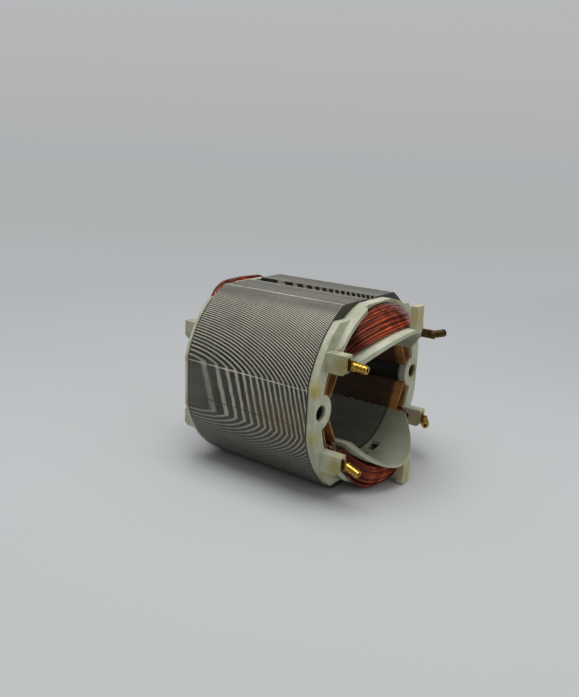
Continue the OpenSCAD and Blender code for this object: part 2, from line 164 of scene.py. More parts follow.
def add(tree, kind, settings=None, **inputs):
    """A node of that kind with its settings, its inputs set or linked. Input i is written in_i."""
    node = tree.nodes.new("ShaderNode" + kind)
    for key, value in (settings or {}).items():
        setattr(node, key, value)
    for key, value in inputs.items():
        socket = node.inputs[int(key[3:])] if key.startswith("in_") else node.inputs[key.replace("_", " ")]
        if isinstance(value, bpy.types.NodeSocket):
            tree.links.new(value, socket)
        else:
            socket.default_value = value
    return node


def math(tree, operation, *values):
    """The result of a Math node on up to three numbers or sockets."""
    inputs = {f"in_{i}": value for i, value in enumerate(values)}
    return add(tree, "Math", {"operation": operation}, **inputs).outputs[0]


def noise(tree, coords, size_mm, detail=3.0, rough=0.55, stretch=(1, 1, 1)):
    """Noise whose features are about size_mm across, longer where stretch is over 1."""
    scaled = add(tree, "Mapping", Vector=coords, Scale=tuple(1 / s for s in stretch)).outputs[0]
    scale = 1 / (size_mm * MM)
    texture = add(tree, "TexNoise", Vector=scaled, Scale=scale, Detail=detail, Roughness=rough)
    return texture.outputs["Fac"]


def ramp(tree, value, low, high, to_low=0.0, to_high=1.0):
    """value mapped smoothly from low..high to to_low..to_high."""
    node = add(tree, "MapRange", {"interpolation_type": "SMOOTHSTEP"}, Value=value)
    for key, number in (("From Min", low), ("From Max", high), ("To Min", to_low), ("To Max", to_high)):
        node.inputs[key].default_value = number
    return node.outputs["Result"]


def blend(tree, share, a, b):
    """Colour a towards b by share."""
    node = add(tree, "MixRGB", Fac=share)
    for key, value in (("Color1", a), ("Color2", b)):
        if isinstance(value, bpy.types.NodeSocket):
            tree.links.new(value, node.inputs[key])
        else:
            node.inputs[key].default_value = value
    return node.outputs[0]


def spot(tree, coords, centre_mm, radius_mm, squash=(1, 1, 1)):
    """1 at a place in mm, falling to 0 about radius_mm away.

    The distance is first raised by 0.9 radius times a noise, which leaves a ragged edge, and
    then mapped from 1 at 0.55 radius to 0 at 1.35 radius.
    """
    moved = add(
        tree, "VectorMath", {"operation": "SUBTRACT"}, in_0=coords, in_1=tuple(c * MM for c in centre_mm)
    ).outputs[0]
    pressed = add(tree, "VectorMath", {"operation": "DIVIDE"}, in_0=moved, in_1=squash).outputs[0]
    away = add(tree, "VectorMath", {"operation": "LENGTH"}, in_0=pressed).outputs["Value"]
    ragged = math(tree, "MULTIPLY_ADD", noise(tree, coords, radius_mm / 2), radius_mm * MM * 0.9, away)
    return ramp(tree, ragged, radius_mm * MM * 1.35, radius_mm * MM * 0.55)


def off_axis(tree, split, y_mm=0.0, z_mm=0.0):
    """Distance in metres from the line along X at y and z, in mm."""
    y = math(tree, "SUBTRACT", split["Y"], y_mm * MM)
    z = math(tree, "SUBTRACT", split["Z"], z_mm * MM)
    return math(tree, "SQRT", math(tree, "ADD", math(tree, "MULTIPLY", y, y), math(tree, "MULTIPLY", z, z)))


def attribute(tree, name):
    """The value of a mesh attribute."""
    return add(tree, "Attribute", {"attribute_name": name}).outputs["Fac"]


def electrical_steel():
    """Silicon steel stamped from 0.5 mm sheet: sheared edges, dark insulating film in the joints.

    The sheets are too fine to show one by one, so the glints off their burrs are painted into the colour as
    the coarser slanting bands that the eye sees on such a stack: bright stripes of painted highlight and
    dark stripes of painted shade.
    """
    material, tree, shader, coords = new_material("electrical_steel")
    split = add(tree, "SeparateXYZ", Vector=coords).outputs
    count = math(tree, "DIVIDE", split["X"], 2 * STACK_END / SHEETS * MM)
    sheet = math(tree, "FLOOR", count)
    across = math(tree, "ABSOLUTE", math(tree, "SUBTRACT", math(tree, "SUBTRACT", count, sheet), 0.5))
    joint = ramp(tree, across, 0.30, 0.47)
    each = add(tree, "TexWhiteNoise", {"noise_dimensions": "1D"}, W=sheet).outputs["Value"]
    along = math(tree, "ABSOLUTE", split["X"])
    edge_face = ramp(tree, along, (STACK_END - 0.02) * MM, (STACK_END - 0.1) * MM)
    # the slanting bands: bright stripes of painted highlight and dark stripes of painted shade, their
    # strength set by the glint attributes
    uneven = noise(tree, coords, 5, 4, 0.6, (1.5, 1, 1))
    wobble = math(tree, "MULTIPLY_ADD", uneven, 0.3, attribute(tree, "glint"))
    wave = math(tree, "COSINE", math(tree, "MULTIPLY_ADD", wobble, 2 * np.pi, -0.3 * np.pi))
    glint_patchiness = ramp(tree, noise(tree, coords, 5, 3, 0.6, (2, 1, 1)), 0.3, 0.65, 0.8, 1.0)
    strength = math(tree, "MULTIPLY", attribute(tree, "glint_strength"), edge_face)
    strength = math(tree, "MULTIPLY", strength, glint_patchiness)
    band = math(tree, "MULTIPLY_ADD", math(tree, "MULTIPLY", wave, strength), 0.5, 0.5)
    plain = blend(tree, ramp(tree, noise(tree, coords, 9, 4, 0.6, (3, 1, 1)), 0.35, 0.7),
                  colour("#66635b"), colour("#79766c"))
    sharp = ramp(tree, band, 0.5, 0.84)
    banded = blend(tree, sharp, colour("#0e0e0a"), colour("#cbc8b5"))
    tone = blend(tree, strength, plain, banded)
    tone = blend(tree, ramp(tree, each, 0.0, 1.0, 0.0, 0.08), tone, colour("#b3afa2"))
    # painted shade over the lower half
    low_shade = math(tree, "MULTIPLY", ramp(tree, split["Z"], 8 * MM, -18 * MM, 0.0, 0.22), edge_face)
    tone = blend(tree, low_shade, tone, colour("#4c4a41"))
    tone = blend(tree, math(tree, "MULTIPLY", joint, 0.5), tone, colour("#23211d"))
    # bright rubbed edges of the top flat and the groove and a bright seam, with painted highlight along
    # them, and a dark scratch
    wander = math(tree, "MULTIPLY_ADD", noise(tree, coords, 6, 2, 0.5, (2, 1, 1)), 0.5 * MM, -0.25 * MM)
    broken = ramp(tree, noise(tree, coords, 1.2, 3, 0.6, (2, 1, 1)), 0.3, 0.55, 0.35, 1.0)
    for y, z, width, hex_code, share in RUBBED_AND_HIGHLIT_LINES:
        away = math(tree, "ABSOLUTE", math(tree, "ADD", off_axis(tree, split, y, z), wander))
        line = math(tree, "MULTIPLY", ramp(tree, away, width * MM, width * 0.4 * MM), broken)
        tone = blend(tree, math(tree, "MULTIPLY", line, share), tone, colour(hex_code))
    # thin brown rust low on the near side, and grime on the rear of the near flat
    rust = spot(tree, coords, (15, -34, -4), 13, (1.5, 1, 1))
    tone = blend(tree, math(tree, "MULTIPLY", rust, 0.28), tone, colour("#7d6233"))
    for centre, radius in (((-21, -34.2, 2), 9), ((-14, -34.2, -5), 7)):
        grime = spot(tree, coords, centre, radius, (0.8, 1, 1.1))
        tone = blend(tree, math(tree, "MULTIPLY", grime, 0.3), tone, colour("#45423a"))
    film = ramp(tree, noise(tree, coords, 2.2, 5, 0.7), 0.52, 0.75)
    tone = blend(tree, math(tree, "MULTIPLY", film, 0.3), tone, colour("#56534a"))
    # dark varnish with painted shade over it in the bore, the slots, the screw holes and the groove, and on
    # the end faces, where the painted glint bands show faintly
    varnish = attribute(tree, "varnish")
    varnish_and_shade_share = math(tree, "MAXIMUM", varnish, ramp(tree, edge_face, 1.0, 0.0, 0.0, 0.62))
    shaded_varnish_tone = blend(tree, math(tree, "MULTIPLY", sharp, strength), colour("#1d1b16"), colour("#a39f90"))
    tone = blend(tree, math(tree, "MULTIPLY", varnish_and_shade_share, 0.95), tone, shaded_varnish_tone)
    tree.links.new(tone, shader.inputs["Base Color"])
    shader.inputs["Metallic"].default_value = 0.35
    tree.links.new(ramp(tree, film, 0, 1, 0.42, 0.62), shader.inputs["Roughness"])
    grain = noise(tree, coords, 0.25, 2)
    bump = add(tree, "Bump", Strength=0.25, Distance=0.05 * MM, Height=grain).outputs[0]
    tree.links.new(bump, shader.inputs["Normal"])
    return material


# rubbed edges and seam with painted highlight, and a scratch, that run along the stack: y, z and half width
# in mm, colour and share
RUBBED_AND_HIGHLIT_LINES = (
    (-16.0, 31.2, 0.42, "#e4ddca", 0.85),
    (16.0, 31.2, 0.42, "#e4ddca", 0.7),
    (-1.9, 31.2, 0.3, "#ded8c6", 0.7),
    (-34.2, 7.4, 0.26, "#e6dfca", 0.8),
    (-34.2, -4.8, 0.24, "#2e2b24", 0.7),
)


def natural_nylon():
    """Unpigmented moulded nylon: waxy and slightly see-through, yellowed by heat near the joints."""
    material, tree, shader, coords = new_material("natural_nylon")
    split = add(tree, "SeparateXYZ", Vector=coords).outputs
    along = math(tree, "ABSOLUTE", split["X"])
    cloudy = noise(tree, coords, 11, 4)
    tone = blend(tree, ramp(tree, cloudy, 0.35, 0.68), colour("#a5a68f"), colour("#bcbda8"))
    tone = blend(tree, ramp(tree, noise(tree, coords, 6, 3), 0.5, 0.75, 0, 0.6), tone, colour("#8f9680"))
    for centre, radius, hex_code, share in YELLOWED:
        for side in (1, -1):
            place = (centre[0] * side, centre[1], centre[2])
            patch = spot(tree, coords, place, radius)
            tone = blend(tree, math(tree, "MULTIPLY", patch, share), tone, colour(hex_code))
    specks = ramp(tree, noise(tree, coords, 0.9, 4, 0.7), 0.62, 0.78, 0, 0.6)
    tone = blend(tree, specks, tone, colour("#75704f"))
    # painted shade deep in the screw holes
    for side in (1, -1):
        away = off_axis(tree, split, side * SCREW_Y)
        hole = ramp(tree, away, (SCREW_R + 0.15) * MM, (SCREW_R + 0.05) * MM)
        inner = ramp(tree, along, (STACK_END + 2.6) * MM, (STACK_END + 1.2) * MM)
        tone = blend(tree, math(tree, "MULTIPLY", hole, inner), tone, colour("#2b281f"))
    # painted shade over the hollow side of the lower tongue
    hollow = ramp(tree, off_axis(tree, split), (BORE_R + 1.3) * MM, (BORE_R + 0.7) * MM)
    hollow = math(tree, "MULTIPLY", hollow, ramp(tree, split["Z"], 0, -6 * MM, 0, 0.5))
    tone = blend(tree, hollow, tone, colour("#5d5f4e"))
    # painted shade where the frame meets the steel
    foot = ramp(tree, along, (STACK_END + 0.9) * MM, (STACK_END + 0.2) * MM, 0, 0.7)
    tone = blend(tree, foot, tone, colour("#4d4a3a"))
    tree.links.new(tone, shader.inputs["Base Color"])
    shader.inputs["IOR"].default_value = 1.53
    shader.inputs["Subsurface Weight"].default_value = 0.35
    shader.inputs["Subsurface Radius"].default_value = (1.0, 0.85, 0.5)
    shader.inputs["Subsurface Scale"].default_value = 1.2 * MM
    tree.links.new(ramp(tree, cloudy, 0.3, 0.7, 0.36, 0.5), shader.inputs["Roughness"])
    rounded = add(tree, "Bevel", {"samples": 6}, Radius=0.3 * MM).outputs[0]
    ripple = noise(tree, coords, 0.8, 3)
    bump = add(tree, "Bump", Strength=0.2, Distance=0.1 * MM, Height=ripple, Normal=rounded).outputs[0]
    tree.links.new(bump, shader.inputs["Normal"])
    return material


POST_TIP = STACK_END + 9.5  # face of the terminal posts along X

# where heat, age and grime have turned the nylon, the same at both ends: centre and radius in mm
YELLOWED = (
    ((28, -33.5, 8), 5.5, "#a3933c", 0.85),
    ((28, -33.5, -8), 5.0, "#a3934a", 0.7),
    ((28, -27, -21), 5.0, "#a29650", 0.5),
    ((29.4, -26.6, 23.4), 4.4, "#5b604a", 0.85),
    ((29.4, -27.6, 19.5), 3.6, "#7c7e5c", 0.7),
    ((29.4, -31.0, 14.0), 4.5, "#8f8d62", 0.6),
    ((27, 33, 0), 6.0, "#9a8a4c", 0.6),
    ((POST_TIP, -29.5, 16), 6.5, "#8f8542", 0.9),
    ((POST_TIP, -29.5, -17), 7.0, "#8f8542", 0.85),
    ((POST_TIP, 28, 16), 6.0, "#a08f4e", 0.6),
    ((POST_TIP, 28, -16), 6.0, "#a08f4e", 0.6),
    ((40.5, 3, 27), 7.0, "#a89a5c", 0.8),
    ((40.5, 3, -27), 8.0, "#a3965a", 0.85),
)


def enamelled_copper():
    """Copper winding wire under glossy red-brown enamel, each turn a little lighter or darker."""
    material, tree, shader, coords = new_material("enamelled_copper")
    shade = attribute(tree, "shade")
    deep = attribute(tree, "deep")
    tone = blend(tree, shade, colour("#4c1107"), colour("#ec6b38"))
    tone = blend(tree, ramp(tree, noise(tree, coords, 3, 3), 0.45, 0.7, 0, 0.45), tone, colour("#551c0d"))
    # deep: painted shade over the near side of the coil and all through its core
    tone = blend(tree, deep, tone, colour("#35120e"))
    tree.links.new(tone, shader.inputs["Base Color"])
    shader.inputs["Metallic"].default_value = 0.75
    shader.inputs["Roughness"].default_value = 0.3
    shader.inputs["Coat Weight"].default_value = 0.18
    shader.inputs["Coat Roughness"].default_value = 0.12
    return material


def slot_paper():
    """Insulating paper soaked in varnish: amber to dark brown, fibrous and stained."""
    material, tree, shader, coords = new_material("varnished_slot_paper")
    fibres = noise(tree, coords, 0.6, 5, 0.65, (4, 1, 1))
    stains = noise(tree, coords, 5, 4, 0.6, (2, 1, 1))
    tone = blend(tree, ramp(tree, stains, 0.35, 0.65), colour("#ab773a"), colour("#7c5228"))
    tone = blend(tree, ramp(tree, fibres, 0.5, 0.7, 0, 0.4), tone, colour("#bb8342"))
    # painted shade darkens it inside the stack
    along = math(tree, "ABSOLUTE", add(tree, "SeparateXYZ", Vector=coords).outputs["X"])
    slot_shade = ramp(tree, along, (STACK_END + 0.4) * MM, (STACK_END - 1.5) * MM, 0, 0.9)
    tone = blend(tree, slot_shade, tone, colour("#2a1e13"))
    tree.links.new(tone, shader.inputs["Base Color"])
    shader.inputs["Roughness"].default_value = 0.55
    shader.inputs["Coat Weight"].default_value = 0.3
    bump = add(tree, "Bump", Strength=0.4, Distance=0.05 * MM, Height=fibres).outputs[0]
    tree.links.new(bump, shader.inputs["Normal"])
    return material


def brass(name, light, dark, tarnish):
    """Stamped brass sheet: bright where it was crimped, browned by tarnish elsewhere."""
    material, tree, shader, coords = new_material(name)
    patches = ramp(tree, noise(tree, coords, 1.6, 4, 0.65), 0.62 - tarnish, 0.9 - tarnish)
    tone = blend(tree, patches, colour(light), colour(dark))
    tree.links.new(tone, shader.inputs["Base Color"])
    shader.inputs["Metallic"].default_value = 1.0
    tree.links.new(ramp(tree, patches, 0, 1, 0.22, 0.5), shader.inputs["Roughness"])
    scratches = noise(tree, coords, 0.3, 2, 0.5, (1, 1, 6))
    bump = add(tree, "Bump", Strength=0.3, Distance=0.03 * MM, Height=scratches).outputs[0]
    tree.links.new(bump, shader.inputs["Normal"])
    return material


def lead_varnish():
    """Bare ends of the winding wire, twisted together and dipped in dark varnish."""
    material, tree, shader, coords = new_material("varnished_lead_wire")
    thin = ramp(tree, noise(tree, coords, 1.5, 3), 0.4, 0.7)
    tone = blend(tree, thin, colour("#4a2016"), colour("#8a4526"))
    tree.links.new(tone, shader.inputs["Base Color"])
    shader.inputs["Metallic"].default_value = 0.4
    shader.inputs["Roughness"].default_value = 0.35
    shader.inputs["Coat Weight"].default_value = 0.6
    return material


STEEL = electrical_steel()
NYLON = natural_nylon()
COPPER = enamelled_copper()
PAPER = slot_paper()
BRASS = brass("crimped_brass", "#bd9642", "#6e5124", 0.1)
DARK_BRASS = brass("tarnished_brass", "#a08352", "#41342a", 0.28)
LEAD = lead_varnish()


# ---- Lamination stack --------------------------------------------------------------------

def arc(radius, start, stop, count, centre=(0.0, 0.0)):
    """Points at angles start to stop in degrees from the +Z direction towards +Y, about a centre."""
    a = np.radians(np.linspace(start, stop, count))
    return np.stack([centre[0] + radius * np.sin(a), centre[1] + radius * np.cos(a)], -1)


def outer_loop():
    """Outline of a sheet: a circle of STACK_R cut by four flats, with the groove in the top one."""
    top = np.degrees(np.arccos(HALF_H / STACK_R))
    side = np.degrees(np.arcsin(HALF_W / STACK_R))
    round_part = arc(STACK_R, top, side, 22)
    side_flat = np.array([[HALF_W, 4.0], [HALF_W, 0.0], [HALF_W, -4.0]])
    low_flat = np.array([[8.0, -HALF_H], [0.0, -HALF_H], [-8.0, -HALF_H]])
    start, end, depth = GROOVE
    groove = np.array([[start, HALF_H], [start, HALF_H - depth], [end, HALF_H - depth], [end, HALF_H]])
    near_top = np.array([[-8.0, HALF_H]])
    lower = round_part[::-1] * (1, -1)
    right = np.concatenate([groove, round_part, side_flat, lower])
    left = np.concatenate([lower[::-1] * (-1, 1), side_flat[::-1] * (-1, 1), round_part[::-1] * (-1, 1)])
    clockwise = np.concatenate([right, low_flat, left, near_top])
    return clockwise[::-1]


def inner_quarter():
    """Bore, horn, slot and boss outline from the pole axis (+Z) to the side (+Y)."""
    face = arc(BORE_R, 0, POLE_HALF, 16)
    tip = np.array([HORN_TIP_R * np.sin(np.radians(POLE_HALF)), HORN_TIP_R * np.cos(np.radians(POLE_HALF))])
    back_r = np.hypot(tip[0], tip[1] - HORN_RISE)
    back = arc(
        back_r, np.degrees(np.arctan2(tip[0], tip[1] - HORN_RISE)),
        np.degrees(np.arcsin(POLE_W / 2 / back_r)), 5, (0, HORN_RISE),
    )
    cosine = (WINDOW_R**2 + SCREW_Y**2 - BOSS_R**2) / (2 * WINDOW_R * SCREW_Y)
    meet = 90 - np.degrees(np.arccos(cosine))
    wall = arc(WINDOW_R, np.degrees(np.arcsin(POLE_W / 2 / WINDOW_R)), meet, 9)
    rise = wall[-1] - (SCREW_Y, 0)
    boss = arc(BOSS_R, np.degrees(np.arctan2(rise[0], rise[1])), -90, 7, (SCREW_Y, 0))[1:]
    return np.concatenate([face, back, wall, boss])


def inner_loop():
    """The opening of a sheet, clockwise, from four mirrored quarters that share their end points."""
    quarter = inner_quarter()
    upper_right = quarter
    lower_right = quarter[::-1][1:] * (1, -1)
    lower_left = quarter[1:] * (-1, -1)
    upper_left = quarter[::-1][1:-1] * (-1, 1)
    return np.concatenate([upper_right, lower_right, lower_left, upper_left])


def side_normals(loop):
    """Unit normals in the plane of a sheet, on the open side of a loop."""
    along = np.roll(loop, -1, 0) - np.roll(loop, 1, 0)
    normal = np.stack([along[:, 1], -along[:, 0]], -1)
    return normal / np.linalg.norm(normal, axis=1, keepdims=True)


def glint(points, outside):
    """Phase of the slanting bands of painted glint in cycles, a quadratic of the place in mm.

    With w = |y| outside and -y inside, it is 0.27 - 0.203x + 1.934w - 0.087z, less 0.0060 of
    x squared, 0.0034 of xw and 0.0029 of xz.
    """
    x, y, z = points.T
    w = np.abs(y) if outside else -y
    return 0.27 - 0.203 * x + 1.934 * w - 0.087 * z - 0.0060 * x**2 - 0.0034 * x * w - 0.0029 * x * z


def outer_tones(points):
    """Strength of the painted glint bands and share of varnish with painted shade over the outline of the
    stack.

    The bands are at 0.82 up to the top of the side flats and full above. They fade towards the top and low
    flats, and where a bell of 9 mm by 9 mm dims them on the rear of a side. They are full in the groove,
    which takes a quarter share of varnish with painted shade.
    """
    x, y, z = points.T
    start, end, depth = GROOVE
    grooved = (z > HALF_H - depth - 0.2) & (np.abs(y - (start + end) / 2) < (end - start) / 2 + 0.02)
    fade = smoothstep((30.9 - z) / 3.0) * smoothstep((z + 30) / 22)
    glint_dimming = 1 - 0.65 * np.exp(-(((x + 23) / 9) ** 2) - (z / 9) ** 2)
    crisp = mix(0.82, 1.0, smoothstep((z - 7) / 3))
    return np.where(grooved, 1.0, fade * glint_dimming * crisp), np.where(grooved, 0.25, 0.0)


def opening_tones(points):
    """The same inside: varnished pole faces under painted shade, with faint painted glint bands, and slots
    too dark with varnish and painted shade for bands.
    """
    in_slot = np.hypot(points[:, 1], points[:, 2]) > BORE_R + 0.8
    return np.where(in_slot, 0.1, 0.9), np.where(in_slot, 1.0, 0.8)


def hole_tones(points):
    """The same in the screw holes: varnish with painted shade alone."""
    return np.zeros(len(points)), np.ones(len(points))


def sheet_rings():
    """Place along X and depth of the stack's rings: two on each sheet's edge, one in each joint."""
    starts = np.linspace(-STACK_END, STACK_END, SHEETS + 1)
    step = rng.uniform(0.0, EDGE_STEP, SHEETS)
    x = np.stack([starts[:-1] + JOINT_W / 2, starts[1:] - JOINT_W / 2, starts[1:]], -1).ravel()[:-1]
    depth = np.stack([step, step, np.full(SHEETS, JOINT_DEPTH)], -1).ravel()[:-1]
    x[0], x[-1] = -STACK_END, STACK_END
    depth[0] = depth[-1] = 0.0
    return x, depth


def swept_loop(loop, x, depth):
    """A loop carried along X, drawn into the steel by depth at each ring."""
    inset = loop[None] - depth[:, None, None] * side_normals(loop)[None]
    along = np.broadcast_to(x[:, None, None], (*inset.shape[:2], 1))
    return np.concatenate([along, inset], -1)


def end_faces(loops, first, last):
    """Triangles of both end faces: the outline less its openings, at the first and last rings."""
    flat = np.concatenate(loops)
    triangles = np.array(tessellate_polygon([[Vector((0, *p)) for p in loop] for loop in loops]))
    a, b, c = (flat[triangles[:, i]] for i in range(3))
    turn = (b[:, 0] - a[:, 0]) * (c[:, 1] - a[:, 1]) - (b[:, 1] - a[:, 1]) * (c[:, 0] - a[:, 0])
    triangles[turn < 0] = triangles[turn < 0][:, ::-1]
    return last[triangles].tolist() + first[triangles[:, ::-1]].tolist()


def stamped_sheets():
    """The stack as its sheets: outline, opening and screw holes swept along X, closed at both ends."""
    rings = sheet_rings()
    ends = (np.array([-STACK_END, STACK_END]), np.zeros(2))
    hole = arc(SCREW_R, 0, 360, 33)[:-1]
    parts = (
        (outer_loop(), rings, outer_tones, True),
        (inner_loop(), rings, opening_tones, False),
        (hole + (SCREW_Y, 0), ends, hole_tones, False),
        (hole - (SCREW_Y, 0), ends, hole_tones, False),
    )
    points, faces, glints, tones, firsts, lasts, total = [], [], [], [], [], [], 0
    for loop, (x, depth), tones_of, outside in parts:
        swept = swept_loop(loop, x, depth).reshape(-1, 3)
        points.append(swept)
        faces += ring_faces(len(x), len(loop), total).tolist()
        glints.append(glint(swept, outside))
        tones.append(tones_of(swept))
        firsts.append(np.arange(len(loop)) + total)
        lasts.append(np.arange(len(loop)) + total + len(swept) - len(loop))
        total += len(swept)
    faces += end_faces([part[0] for part in parts], np.concatenate(firsts), np.concatenate(lasts))
    # strength of the painted glint bands, and share of varnish with painted shade
    strength, varnish = np.concatenate(tones, 1)
    obj = piece(
        "stamped_sheets", np.concatenate(points), faces, STEEL, 25,
        {"glint": np.concatenate(glints), "glint_strength": strength, "varnish": varnish},
    )
    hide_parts("lamination_stack")


# ---- Coils -------------------------------------------------------------------------------

COIL_EDGE = 67.0           # angle from the pole axis to the outer edge of a coil side
CHEEK_T = 1.0              # frame wall in front of a pole
PAPER_OUT = 2.6            # how far the papers stand out of the stack
GAP = 0.15                 # room left beside the parts round a coil
TONGUE_OUT_R = 23.3        # outer face of the tongues
GUARD_IN_R = 30.1          # inner face of the coil guards
LINER_T = 0.35
WIRE_R = 0.23              # enamelled wire
WIRE_SIDES = 5
WIRES = 78                 # wires side by side round a coil
LOOSE_WIRES = 24           # wires crossing on top of them
COLUMNS = 6                # columns of the coil's surface to a wire
SWAY = 3.2                 # columns that a wire strays
TURN_STEPS, SIDE_STEPS, SECTION_STEPS = 56, 8, 120

# back of a horn about its centre, then the coil's foot and top in a slot and its inner edge in degrees
HORN_BACK_R = np.hypot(
    HORN_TIP_R * np.sin(np.radians(POLE_HALF)), HORN_TIP_R * np.cos(np.radians(POLE_HALF)) - HORN_RISE
)
SLOT_FOOT_R = np.hypot(POLE_W / 2, HORN_RISE + np.sqrt(HORN_BACK_R**2 - (POLE_W / 2) ** 2)) + LINER_T + GAP
SLOT_TOP_R = WINDOW_R - LINER_T - GAP
INNER_EDGE = np.degrees(np.arcsin((POLE_W / 2 + LINER_T + GAP) / SLOT_FOOT_R))
# places along X: where an end turn starts, its two lines at the pole axis, and what it passes
TURN_START = STACK_END - 2
TURN_INNER = STACK_END + CHEEK_T + GAP
TURN_OUTER = STACK_END + 14
PAST_PAPER = STACK_END + PAPER_OUT + GAP
TURN_REACH = TURN_OUTER - STACK_END
PAST_WALL = STACK_END + 5.4 + GAP
REAR_SWELL, COIL_FLAT_Z = 2.5, HALF_H - GAP
TO_TONGUE, TO_GUARD, TO_SWELL = 1.6, 2.4, 2.5  # lengths along X over which a coil spreads
FALL, FULL_FALL = (0.93, 2), (0.7, 4)          # drop of the guard side at the front, and its power
# degrees from the pole axis where the crown ends, and over how many
SHOULDER, REAR_SHOULDER = (38, 14), (45, 11)


def coil_section(s):
    """Corner lines of a coil at share s of an end turn: inner and outer place as (angle, x).

    The inner line rounds the pole corners in the first and last 12% of s and runs straight
    between them. The outer line has angle -edge cos(180 s) and x that falls as |angle| ^ 1.75.
    """
    corner = 0.12
    rounded = np.minimum(s, 1 - s) / corner
    inner_x = np.where(rounded < 1, mix(TURN_START, TURN_INNER, rounded), TURN_INNER)
    inner_a = INNER_EDGE * np.clip(2 * (s - corner) / (1 - 2 * corner) - 1, -1, 1)
    outer_a = -COIL_EDGE * np.cos(np.pi * s)
    outer_x = TURN_START + (TURN_OUTER - TURN_START) * (1 - (np.abs(outer_a) / COIL_EDGE) ** 1.75)
    return inner_a, inner_x, outer_a, outer_x


def coil_surface(s, across, rear, full_front=False):
    """Points round the cross-section of one end turn.

    across runs 0 to 1 over the guard side from the inner to the outer line, and 1 to 2 back
    over the tongue side. The radius lies between the tongue side and the guard side, and
    the guard side falls towards the front as an ellipse does. At the rear it swells by
    REAR_SWELL past the guard, up to a flat at COIL_FLAT_Z, and so does a full front. With b the
    share from the inner to the outer line, half the thickness is scaled by 0.4 at both lines
    and by 1 midway, after sqrt(1 - |2b - 1| ^ 6), which rounds both edges.
    """
    s, across = np.broadcast_arrays(s, across)
    b = np.where(across <= 1, across, 2 - across)
    inner_a, inner_x, outer_a, outer_x = coil_section(s)
    angle, x = mix(inner_a, outer_a, b), mix(inner_x, outer_x, b)
    turned = smoothstep((outer_x - TURN_START) / (TURN_REACH / 2))
    low = mix(SLOT_FOOT_R, TONGUE_OUT_R + GAP, smoothstep((x - PAST_PAPER) / TO_TONGUE))
    crown = GUARD_IN_R - GAP
    swell = np.minimum(REAR_SWELL, COIL_FLAT_Z / np.cos(np.radians(angle)) - crown)
    start, span = REAR_SHOULDER if rear else SHOULDER
    shoulder = 1 - smoothstep((np.abs(angle) - start) / span)
    full = mix(SLOT_TOP_R, crown + rear * swell, smoothstep((x - PAST_PAPER) / TO_GUARD) * shoulder)
    full = full + full_front * swell * smoothstep((x - PAST_WALL) / TO_SWELL)
    fall, power = FULL_FALL if full_front else FALL
    crest = np.sqrt(1 - fall * np.clip((b - 0.3) / 0.7, 0, 1) ** power)
    high = mix(full, mix(low, full, crest), turned)
    middle = (low + high) / 2
    roundness = mix(0.4, 1.0, np.sqrt(1 - np.abs(2 * b - 1) ** 6))
    radius = middle + np.where(across <= 1, high - middle, low - middle) * roundness
    a = np.radians(angle)
    return np.stack([x, radius * np.sin(a), radius * np.cos(a)], -1)


def evenly(points, count):
    """Each closed ring of points cut again into count equal steps along its length."""
    closed = np.concatenate([points, points[:, :1]], 1)
    lengths = np.linalg.norm(np.diff(closed, axis=1), axis=2)
    run = np.concatenate([np.zeros((len(points), 1)), np.cumsum(lengths, 1)], 1)
    out = np.empty((len(points), count, 3))
    for i in range(len(points)):
        wanted = np.linspace(0, run[i, -1], count, endpoint=False)
        for axis in range(3):
            out[i, :, axis] = np.interp(wanted, run[i], closed[i, :, axis])
    return out


def coil_loop(count, full_front):
    """Rings of the whole coil: an end turn, a coil side, the other end turn, the other side."""
    s = np.linspace(0, 1, TURN_STEPS)[:, None]
    across = np.linspace(0, 2, SECTION_STEPS, endpoint=False)[None]
    turn = evenly(coil_surface(s, across, False, full_front), count)
    back = evenly(coil_surface(s, across, True), count)[::-1] * (-1, 1, 1)
    share = np.linspace(0, 1, SIDE_STEPS + 2)[1:-1, None, None]
    side_one = mix(turn[-1], back[0], share)
    side_two = mix(back[-1], turn[0], share)
    return np.concatenate([turn, side_one, back, side_two])


def closed_faces(rings, around, start):
    """Quads of a loop of rings, closed both along the loop and round each ring."""
    k, n = np.meshgrid(np.arange(rings), np.arange(around), indexing="ij")
    ring, turn = (k + 1) % rings, (n + 1) % around
    corners = [k * around + n, k * around + turn, ring * around + turn, ring * around + n]
    return start + np.stack(corners, -1).reshape(-1, 4)


def wire_path(surface, inward, loose, home):
    """A wire round the whole coil, near column home of its surface.

    It sways across the columns by the sum over k of a_k sin(k s + p_k) / k, and lies sunk about
    1.2 of its radius below the surface, by a depth that also varies along it. A loose wire
    sways 2.2 times as far and lies half its radius deep.
    """
    rings, columns = surface.shape[:2]
    s = np.linspace(0, 2 * np.pi, rings, endpoint=False)
    sway = sum(rng.normal(0, SWAY) * np.sin(k * s + rng.uniform(0, 6.3)) / k for k in (1, 2, 3, 5))
    column = (home + sway * (2.2 if loose else 1.0)) % columns
    low = np.floor(column).astype(int) % columns
    share = (column - np.floor(column))[:, None]
    ring = np.arange(rings)
    on = mix(surface[ring, low], surface[ring, (low + 1) % columns], share)
    depth = WIRE_R * (0.5 if loose else 1.2) + rng.uniform(-0.1, 0.14)
    depth = depth + 0.09 * np.sin(2 * s + rng.uniform(0, 6.3))
    return on + inward[ring, low] * depth[:, None]


